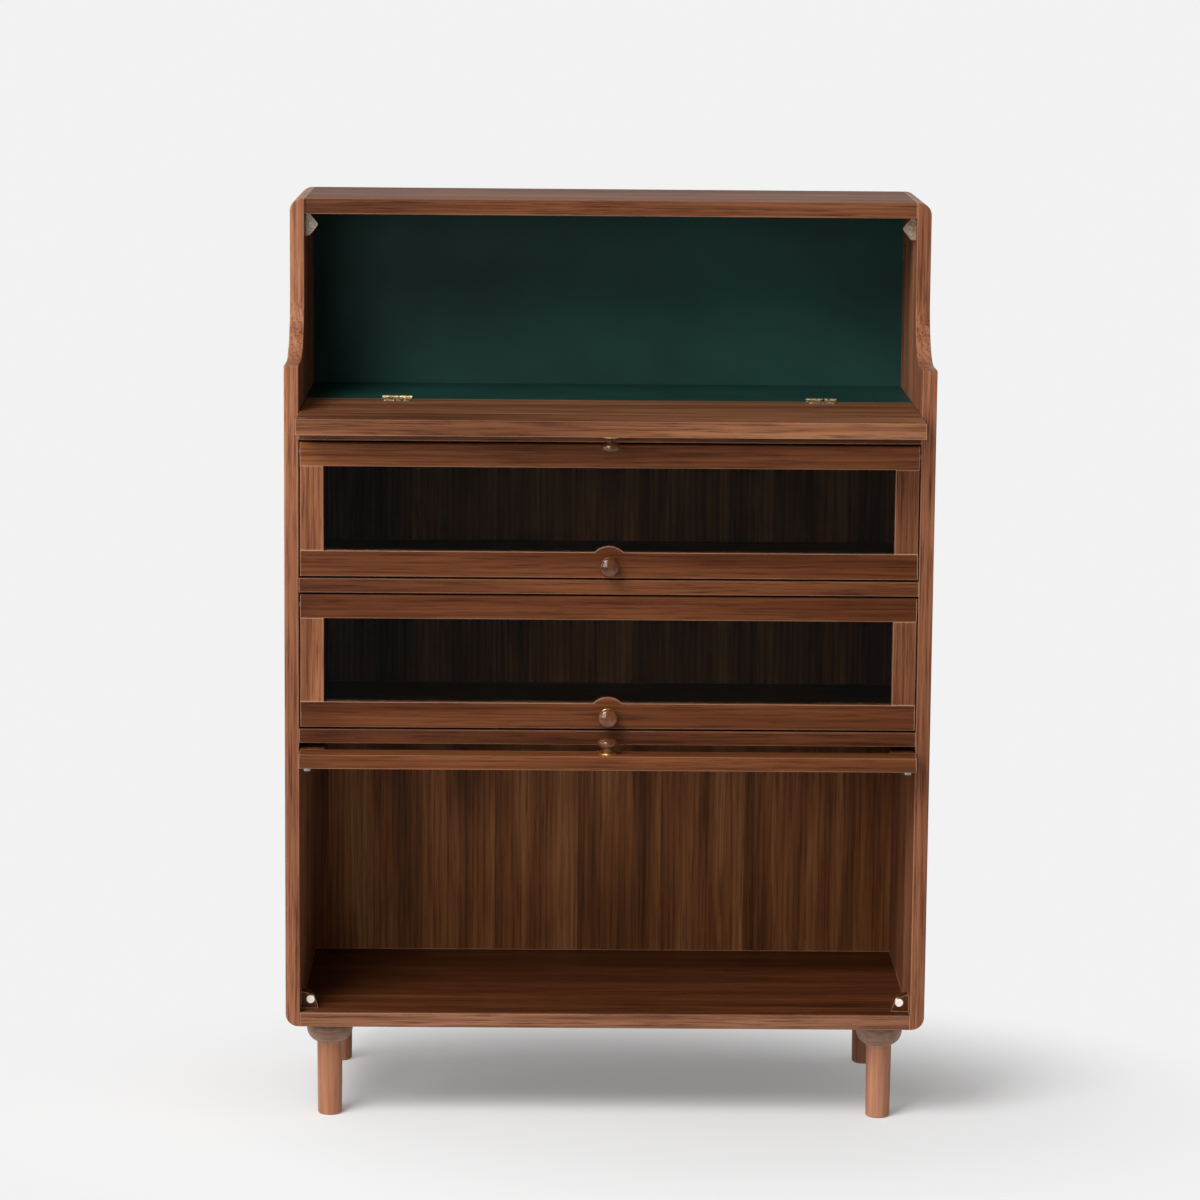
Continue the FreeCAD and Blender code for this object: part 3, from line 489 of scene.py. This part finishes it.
# zinc plate: an even cool grey with a soft shine
plated_steel = metal("steel_zinc_plated", "#8f9194", "#b9babc", gloss=0.28, spread=0.18, grit=0.0018)
dress(polished_brass, "flap_knob_ring", *[door + "_knob_ring" for door in DOORS])
dress(aged_brass_with_glints, "hinge_floor_leaves", "hinge_flap_leaves", "hinge_pins")
dress(plated_steel, "flap_strikes", *[door + part for door in DOORS for part in ("_strikes", "_pins")])

# %% [markdown]
# ## Catches of the doors
# Each door is held by magnets under cream plastic caps, set in small walnut
# blocks. The moulded plastic is nearly white, satin and faintly mottled, and
# it lets a little light into itself, which the shader's subsurface stands for.

# %% Dress the catches of the doors
MOTTLE = 0.003   # flow marks of the mould, a few millimetres across

material, tree, shader, place = start_material("plastic_moulded_cream")
mottle = add(tree, "TexNoise", {"Vector": place, "Scale": 1 / MOTTLE, "Detail": 3.0})
cream = add(tree, "ValToRGB", {0: mottle.outputs[0]}, [(0.3, linear("#ece6d8")), (0.7, linear("#fffaf0"))])
relief = add(tree, "Bump", {"Height": mottle.outputs[0], "Distance": 0.0001, "Strength": 0.3})
tree.links.new(cream.outputs[0], shader.inputs["Base Color"])
tree.links.new(relief.outputs[0], shader.inputs["Normal"])
shader.inputs["Roughness"].default_value = 0.38
shader.inputs["Subsurface Weight"].default_value = 0.15
shader.inputs["Subsurface Radius"].default_value = (0.002, 0.0015, 0.001)
cream_plastic = material
dress(cream_plastic, "door_magnets")
dress(walnut("walnut_catch_blocks", "Z", BOARD, seed=9.41), "door_catch_blocks")

# %% [markdown]
# ## Catches of the flap
# The flap's catches are blocks of clear moulded plastic that the side shows
# through, a little cloudy from the mould, with fine rings round the magnet.
# Rings are a wave of the distance from one point. Both catches share one
# material, so the place is folded over the middle of the cabinet first.

# %% Dress the catches of the flap
CLOUDY = 0.006        # clouds in the clear plastic
RINGS_APART = 0.0042  # the moulded rings are about 4 mm apart

material, tree, shader, place = start_material("plastic_moulded_clear")
cloudy = add(tree, "TexNoise", {"Vector": place, "Scale": 1 / CLOUDY, "Detail": 2.0, "Roughness": 0.5})
magnet_low, magnet_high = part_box("flap_magnets")
radius = (magnet_high[2] - magnet_low[2]) / 2
centre = (magnet_high[0] - radius, 0.0, magnet_low[2] + radius)
folded = add(tree, "VectorMath", {0: place}, operation="ABSOLUTE")
away = add(tree, "VectorMath", {0: folded.outputs[0], 1: centre}, operation="SUBTRACT")
flat = add(tree, "VectorMath", {0: away.outputs[0], 1: (1.0, 0.0, 1.0)}, operation="MULTIPLY")
reach = add(tree, "VectorMath", {0: flat.outputs[0]}, operation="LENGTH")
phase = add(tree, "Math", {0: reach.outputs["Value"], 1: 2 * math.pi / RINGS_APART}, operation="MULTIPLY")
wave = add(tree, "Math", {0: phase.outputs[0]}, operation="SINE")
ringed = add(tree, "MapRange", {"Value": wave.outputs[0], "From Min": -1.0, "From Max": 1.0,
                                "To Min": 0.0, "To Max": 0.5})
smoke = add(tree, "ValToRGB", {0: cloudy.outputs[0]}, [(0.3, linear("#a08872")), (0.7, linear("#c9b49d"))])
colour = add(tree, "Mix", {FACTOR: ringed.outputs[0], FIRST: smoke.outputs[0], SECOND: linear("#7a6552")},
             data_type="RGBA")
rough = add(tree, "MapRange", {"Value": cloudy.outputs[0], "From Min": 0.3, "From Max": 0.7,
                               "To Min": 0.10, "To Max": 0.32})
relief = add(tree, "Bump", {"Height": cloudy.outputs[0], "Distance": 0.0002, "Strength": 0.3})
tree.links.new(colour.outputs[MIXED], shader.inputs["Base Color"])
tree.links.new(rough.outputs[0], shader.inputs["Roughness"])
tree.links.new(relief.outputs[0], shader.inputs["Normal"])
shader.inputs["Transmission Weight"].default_value = 0.35
shader.inputs["IOR"].default_value = 1.49
dress(material, "flap_catch_blocks", "flap_magnets")

# %% [markdown]
# ## A screw head
# A screw head is a shallow dome with a groove, or with two that cross. It
# could be cut with booleans, but one surface on a polar grid is cleaner: the
# height is a function of the radius and the distance from the groove, and the
# rim goes straight down into what it holds.

# %% The surface of a head
AROUND = 48           # points round a head
RADII = np.array([0.12, 0.24, 0.36, 0.48, 0.60, 0.72, 0.84, 0.93, 1.0])   # shares of its radius
FALL = 0.55           # how much of the rise the dome loses at the rim
DEPTH = 0.6           # how deep the groove is, as a share of the rise
HALF_GROOVE = 0.20    # the groove's half width, as a share of the radius
SLOPE = 0.08          # the width over which its side rises
CROSS_REACH = 0.62    # how far out a cross goes, while a slot goes right through
END_SLOPE = 0.12      # the length over which the end of a cross rises


def head_surface(radius, rise, sink, cross):
    """Points (across, across, up) of a closed screw head. The dome's height is the rise
    times 1 less FALL times the share of the radius squared. A groove of smooth section
    is taken off where the distance from its middle line is under its half width. One
    ring of points under the rim takes it down by sink, and a pole closes each end."""
    angle = np.arange(AROUND) * 2 * math.pi / AROUND
    share, turn = np.meshgrid(RADII, angle, indexing="ij")
    u = share * np.cos(turn)
    v = share * np.sin(turn)
    off = np.minimum(np.abs(u), np.abs(v)) if cross else np.abs(v)
    groove = np.clip((HALF_GROOVE - off) / SLOPE, 0, 1)
    if cross:
        groove = groove * np.clip((CROSS_REACH - share) / END_SLOPE, 0, 1)
    up = rise * (1 - FALL * share ** 2) - DEPTH * rise * groove
    dome = np.stack([u * radius, v * radius, up], axis=-1).reshape(-1, 3)
    rim = np.stack([np.cos(angle) * radius, np.sin(angle) * radius, np.full(AROUND, -sink)], axis=-1)
    poles = [[0.0, 0.0, rise * (1 - DEPTH)], [0.0, 0.0, -sink]]
    return np.concatenate([dome, rim, poles])


def ring_quads(rings, around):
    """Corner numbers of the quads that join each ring of points to the next one out."""
    ring, step = np.meshgrid(np.arange(rings - 1), np.arange(around), indexing="ij")
    after = (step + 1) % around
    return np.stack([ring * around + step, (ring + 1) * around + step,
                     (ring + 1) * around + after, ring * around + after], axis=-1).reshape(-1, 4)


def pole_triangles():
    """Corner numbers of the triangles from each pole to the ring beside it, outward."""
    step = np.arange(AROUND)
    after = (step + 1) % AROUND
    last = len(RADII) * AROUND
    pole = np.full(AROUND, last + AROUND)
    return np.concatenate([np.stack([pole, step, after], axis=-1),
                           np.stack([pole + 1, last + after, last + step], axis=-1)])


print("a head has", len(head_surface(1.0, 0.3, 0.2, False)), "points")

# %% [markdown]
# ## Many screws in one piece
# All the screws of a kind are driven by one hand into one thing, so they are
# one piece here. Instances could do it, but a plain mesh exports as it is.
# Each screw is a copy of the one surface, moved and turned as whole arrays,
# and stops at an angle of its own, as real ones do.

# %% Drive a set of screws
TURN_ON = 0.9   # each head is turned on from the last one by this, in radians


def screws(name, places, across, up, size, cross, material, body):
    """One piece with a screw head at each place. The heads' own axes are across, the
    cross product of up and across, and up. The size is their radius, rise and sink.
    A point at (u, v, w) on a head goes to its place + u across + v side + w up."""
    shape = head_surface(*size, cross)
    across = np.array(across, float)
    up = np.array(up, float)
    turn = TURN_ON * np.arange(len(places))[:, None]
    u = shape[:, 0] * np.cos(turn) - shape[:, 1] * np.sin(turn)
    v = shape[:, 0] * np.sin(turn) + shape[:, 1] * np.cos(turn)
    points = (np.array(places)[:, None] + u[..., None] * across + v[..., None] * np.cross(up, across)
              + shape[:, 2:] * up)
    first = len(shape) * np.arange(len(places))[:, None, None]
    quads = (first + ring_quads(len(RADII) + 1, AROUND)).reshape(-1, 4).tolist()
    tips = (first + pole_triangles()).reshape(-1, 3).tolist()
    mesh = bpy.data.meshes.new(name)
    mesh.from_pydata(points.reshape(-1, 3).tolist(), [], quads + tips)
    mesh.polygons.foreach_set("use_smooth", [True] * len(quads) + [False] * len(tips))
    mesh.materials.append(material)
    piece = bpy.data.objects.new(name, mesh)
    bpy.context.scene.collection.objects.link(piece)
    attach(piece, body)
    print(name, len(places), "heads,", len(quads) + len(tips), "faces")


print("each head is turned on by", TURN_ON, "radian")

# %% [markdown]
# ## Screws of the hinges
# Each hinge leaf is held by two small slotted screws of the same aged brass.
# A screw has to move with the leaf that it holds, so the leaves on the desk
# floor and those on the flap get a piece each. The outer edge of a leaf is
# read from the frame, and the screws sit a little inside it.

# %% Put the screws in the hinges
HINGE_SCREW = (0.0026, 0.0006, 0.0004)   # radius, rise and sink of a 5 mm head
HINGE_MIDDLE = 0.267   # from the middle of the cabinet to the middle of a hinge
LEAF_FACE = 0.8987     # height of the upper face of the leaves
LEAF_INSET = 0.0075    # from the leaf's outer edge to its screws
LEAF_HALF = 0.011      # half the distance between a leaf's two screws

floor_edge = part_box("hinge_floor_leaves")[1][1]
flap_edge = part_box("hinge_flap_leaves")[0][1]
for body, name, y in (("carcass", "hinge_floor_screws", floor_edge - LEAF_INSET),
                      ("flap", "hinge_flap_screws", flap_edge + LEAF_INSET)):
    places = [(side * HINGE_MIDDLE + off, y, LEAF_FACE)
              for side in (-1, 1) for off in (-LEAF_HALF, LEAF_HALF)]
    screws(name, places, across=(1, 0, 0), up=(0, 0, 1), size=HINGE_SCREW, cross=False,
           material=aged_brass_with_glints, body=body)

# %% [markdown]
# ## Screws of the door magnets
# A small white cross-headed screw sits in the middle of each magnet's cap.
# The frame holds all the caps as one mesh, so they are told apart by their
# side of the cabinet and by the gaps between them in height.

# %% Put the screws in the magnets
CAP_SCREW = (0.00125, 0.0003, 0.0010)   # radius, rise and sink of a 2.5 mm head
CAP_GAP = 0.03       # caps lie further apart than this in height
CAP_SEAT = 0.0005    # the head sits this far inside the face of its cap

points = np.array([vertex.co[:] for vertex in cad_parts["door_magnets"].data.vertices])
places = []
for side in (-1, 1):
    half = points[points[:, 0] * side > 0]
    half = half[np.argsort(half[:, 2])]
    for cap in np.split(half, np.flatnonzero(np.diff(half[:, 2]) > CAP_GAP) + 1):
        low = cap.min(axis=0)
        high = cap.max(axis=0)
        places.append(((low[0] + high[0]) / 2, low[1] + CAP_SEAT, (low[2] + high[2]) / 2))
screws("magnet_screws", places, across=(1, 0, 0), up=(0, -1, 0), size=CAP_SCREW, cross=True,
       material=cream_plastic, body="carcass")

# %% [markdown]
# ## Screws of the backs
# The two back panels are screwed into their rabbets from behind with
# cross-headed steel screws, one every 180 mm or so round the edge. Nothing of
# it shows from the front, but a cabinet is also seen from behind.

# %% Put the screws in the backs
BACK_SCREW = (0.0034, 0.0012, 0.0004)   # radius, rise and sink of a 7 mm head
BACK_INSET = 0.0105    # from the edge of a back to its screws
ACROSS = 5             # screws in a row along the top and the bottom edge

for name, rows in (("upper_back_panel", 3), ("lower_back_panel", 5)):
    low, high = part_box(name)
    face = high[1]
    xs = np.linspace(low[0] + BACK_INSET, high[0] - BACK_INSET, ACROSS)
    zs = np.linspace(low[2] + BACK_INSET, high[2] - BACK_INSET, rows)
    ends = [(x, face, z) for x in xs for z in (zs[0], zs[-1])]
    sides = [(x, face, z) for x in (xs[0], xs[-1]) for z in zs[1:-1]]
    screws(name.replace("panel", "screws"), ends + sides, across=(-1, 0, 0), up=(0, 1, 0),
           size=BACK_SCREW, cross=True, material=plated_steel, body="carcass")

# %% [markdown]
# ## Floor and backdrop
# The cabinet stands on a seamless pale sweep, where only the soft shadow tells
# the floor from the wall. One wide disc does for both. Near the cabinet it is a
# matt white that takes the shadow, and further out it turns into the plain
# tone of the backdrop, so that no horizon shows.

# %% Lay the floor
FLOOR_AROUND = 96
FLOOR_RADII = np.array([0.02, 0.6, 1.5, 3.0, 6.0, 14.0, 40.0])

angle = np.arange(FLOOR_AROUND) * 2 * math.pi / FLOOR_AROUND
reach, turn = np.meshgrid(FLOOR_RADII, angle, indexing="ij")
points = np.stack([reach * np.cos(turn), reach * np.sin(turn), np.zeros_like(reach)], axis=-1).reshape(-1, 3)
quads = ring_quads(len(FLOOR_RADII), FLOOR_AROUND)
mesh = bpy.data.meshes.new("floor")
mesh.from_pydata(points.tolist(), [], quads.tolist() + [list(range(FLOOR_AROUND))])
floor = bpy.data.objects.new("floor", mesh)
bpy.context.scene.collection.objects.link(floor)
floor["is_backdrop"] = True
print("floor of", len(quads) + 1, "faces")

# %% [markdown]
# ## Paper of the sweep
# The paper is mostly matt near the cabinet and glows in the backdrop's tone
# further out. The glow is painted light: a fifth of it lies over the cast
# shadow next to the cabinet and lightens it, and further out it fades the
# shadow away. The camera, the glass and the metal see that glow, while the
# cabinet is lit by the matt paper alone. In front of the cabinet it is dark
# to all but the camera, because the panes would mirror it as a grey veil.

# %% Colour the floor
PALE = linear("#f2f2f2")
# these shape the painted glow that fades the cast shadow out
SHADOW_STRETCH = (1.0, 1.5, 1.0)   # the shadow is wider than it is deep,
SHADOW_SHIFT = (0.0, 0.10, 0.0)    # and its middle lies 70 mm in front of the cabinet's

material = bpy.data.materials.new("paper_matt_sweep")
material.use_nodes = True
tree = material.node_tree
tree.nodes.clear()
place = add(tree, "TexCoord").outputs["Object"]
nearer = add(tree, "VectorMath", {0: place, 1: SHADOW_STRETCH, 2: SHADOW_SHIFT}, operation="MULTIPLY_ADD")
far = add(tree, "VectorMath", {0: nearer.outputs[0]}, operation="LENGTH")
# painted light: a fifth of the glow lies over the shadow next to the cabinet, and from 0.38 to 0.92 m out it
# takes over and fades the shadow away
share = add(tree, "MapRange", {"Value": far.outputs["Value"], "From Min": 0.38, "From Max": 0.92,
                               "To Min": 0.18, "To Max": 1.0}, interpolation_type="SMOOTHSTEP")
apart = add(tree, "SeparateXYZ", {0: place})
lit = add(tree, "MapRange", {"Value": apart.outputs["Y"], "From Min": -3.0, "From Max": -1.2,
                             "To Min": 0.05, "To Max": 1.0}, interpolation_type="SMOOTHSTEP")
ray = add(tree, "LightPath")
straight = add(tree, "Math", {0: ray.outputs["Is Camera Ray"], 1: ray.outputs["Is Transmission Ray"]},
               operation="MAXIMUM")
seen = add(tree, "Math", {0: straight.outputs[0], 1: ray.outputs["Is Glossy Ray"]}, operation="MAXIMUM")
plain = add(tree, "Math", {0: share.outputs[0], 1: seen.outputs[0]}, operation="MULTIPLY")
strength = add(tree, "Math", {0: ray.outputs["Is Camera Ray"], 1: lit.outputs[0]}, operation="MAXIMUM")
matt = add(tree, "BsdfDiffuse", {"Color": linear("#eaeaea")})
glow = add(tree, "Emission", {"Color": PALE, "Strength": strength.outputs[0]})
both = add(tree, "MixShader", {0: plain.outputs[0], 1: matt.outputs[0], 2: glow.outputs[0]})
add(tree, "OutputMaterial", {"Surface": both.outputs[0]})
mesh.materials.append(material)
print(material.name, "on the floor")

# %% [markdown]
# ## Lamps
# The photograph has one big soft light high on the left, in front of the
# cabinet. It is a wide square here, so that the shadow on the floor melts
# away. A weaker square lower down in front opens the shadows inside, and a
# third stands for a window on the left and brightens that side.

# %% Hang the lamps
def soft_box(name, place, aim, size, power):
    """A square area lamp at a place, turned to an aim: its own Z axis points back from
    the aim, and its X axis stays level."""
    lamp = bpy.data.lights.new(name, "AREA")
    lamp.shape = "SQUARE"
    lamp.size = size
    lamp.energy = power
    holder = bpy.data.objects.new(name, lamp)
    bpy.context.scene.collection.objects.link(holder)
    back = np.array(place) - np.array(aim)
    distance = np.linalg.norm(back)
    back = back / distance
    side = np.cross((0.0, 0.0, 1.0), back)
    side = side / np.linalg.norm(side)
    matrix = np.eye(4)
    matrix[:3, 0] = side
    matrix[:3, 1] = np.cross(back, side)
    matrix[:3, 2] = back
    matrix[:3, 3] = place
    holder.matrix_world = Matrix(matrix.tolist())
    print(name, power, "W from", round(float(distance), 2), "m")


soft_box("key_soft_box", place=(-2.1, -2.8, 3.8), aim=(0.05, 0.0, 0.6), size=2.2, power=210.0)
soft_box("fill_soft_box", place=(-1.5, -4.3, 1.35), aim=(0.0, 0.0, 0.7), size=1.7, power=46.0)
soft_box("left_window", place=(-3.2, -1.4, 1.4), aim=(0.0, 0.0, 0.7), size=1.6, power=22.0)

# %% [markdown]
# ## The room
# The room is the world. To the camera it is the backdrop. Everything else is
# lit by it gently and evenly, as by pale walls all round. Metal and glass see
# the backdrop too, but only behind the cabinet: towards the photographer the
# room is dark to them, so that the panes stay clear.

# %% Light the room
ROOM = 0.42        # strength of the light that the walls give
FRONT = 0.12       # strength of what metal and glass see in front

world = bpy.data.worlds.new("pale_room")
bpy.context.scene.world = world
world.use_nodes = True
tree = world.node_tree
tree.nodes.clear()
ray = add(tree, "LightPath")
direction = add(tree, "SeparateXYZ", {0: add(tree, "TexCoord").outputs["Generated"]})
behind = add(tree, "MapRange", {"Value": direction.outputs["Y"], "From Min": -0.35, "From Max": 0.45,
                                "To Min": FRONT, "To Max": 1.0}, interpolation_type="SMOOTHSTEP")
beyond = add(tree, "MapRange", {"Value": direction.outputs["Y"], "From Min": -0.9, "From Max": -0.5,
                                "To Min": FRONT, "To Max": 1.0})
glossy = add(tree, "Math", {0: ray.outputs["Is Glossy Ray"], 1: behind.outputs[0]}, operation="MULTIPLY")
through = add(tree, "Math", {0: ray.outputs["Is Transmission Ray"], 1: beyond.outputs[0]},
              operation="MULTIPLY")
mirrored = add(tree, "Math", {0: through.outputs[0], 1: glossy.outputs[0]}, operation="MAXIMUM")
shown = add(tree, "Math", {0: mirrored.outputs[0], 1: ray.outputs["Is Camera Ray"]}, operation="MAXIMUM")
straight = add(tree, "Math", {0: ray.outputs["Is Camera Ray"], 1: ray.outputs["Is Transmission Ray"]},
               operation="MAXIMUM")
seen = add(tree, "Math", {0: straight.outputs[0], 1: ray.outputs["Is Glossy Ray"]}, operation="MAXIMUM")
unseen = add(tree, "Math", {0: 1.0, 1: seen.outputs[0]}, operation="SUBTRACT")
strength = add(tree, "Math", {0: unseen.outputs[0], 1: ROOM, 2: shown.outputs[0]},
               operation="MULTIPLY_ADD")
room = add(tree, "Background", {"Color": PALE, "Strength": strength.outputs[0]})
add(tree, "OutputWorld", {"Surface": room.outputs[0]})
bpy.context.scene.view_settings.view_transform = "Standard"
print("room strength", ROOM)

# %% [markdown]
# ## The last measure
# The finished cabinet has to be as large as its frame. Its box is measured
# and its size printed.

# %% Measure
low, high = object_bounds()
print("size", [round(b - a, 4) for a, b in zip(low, high)])
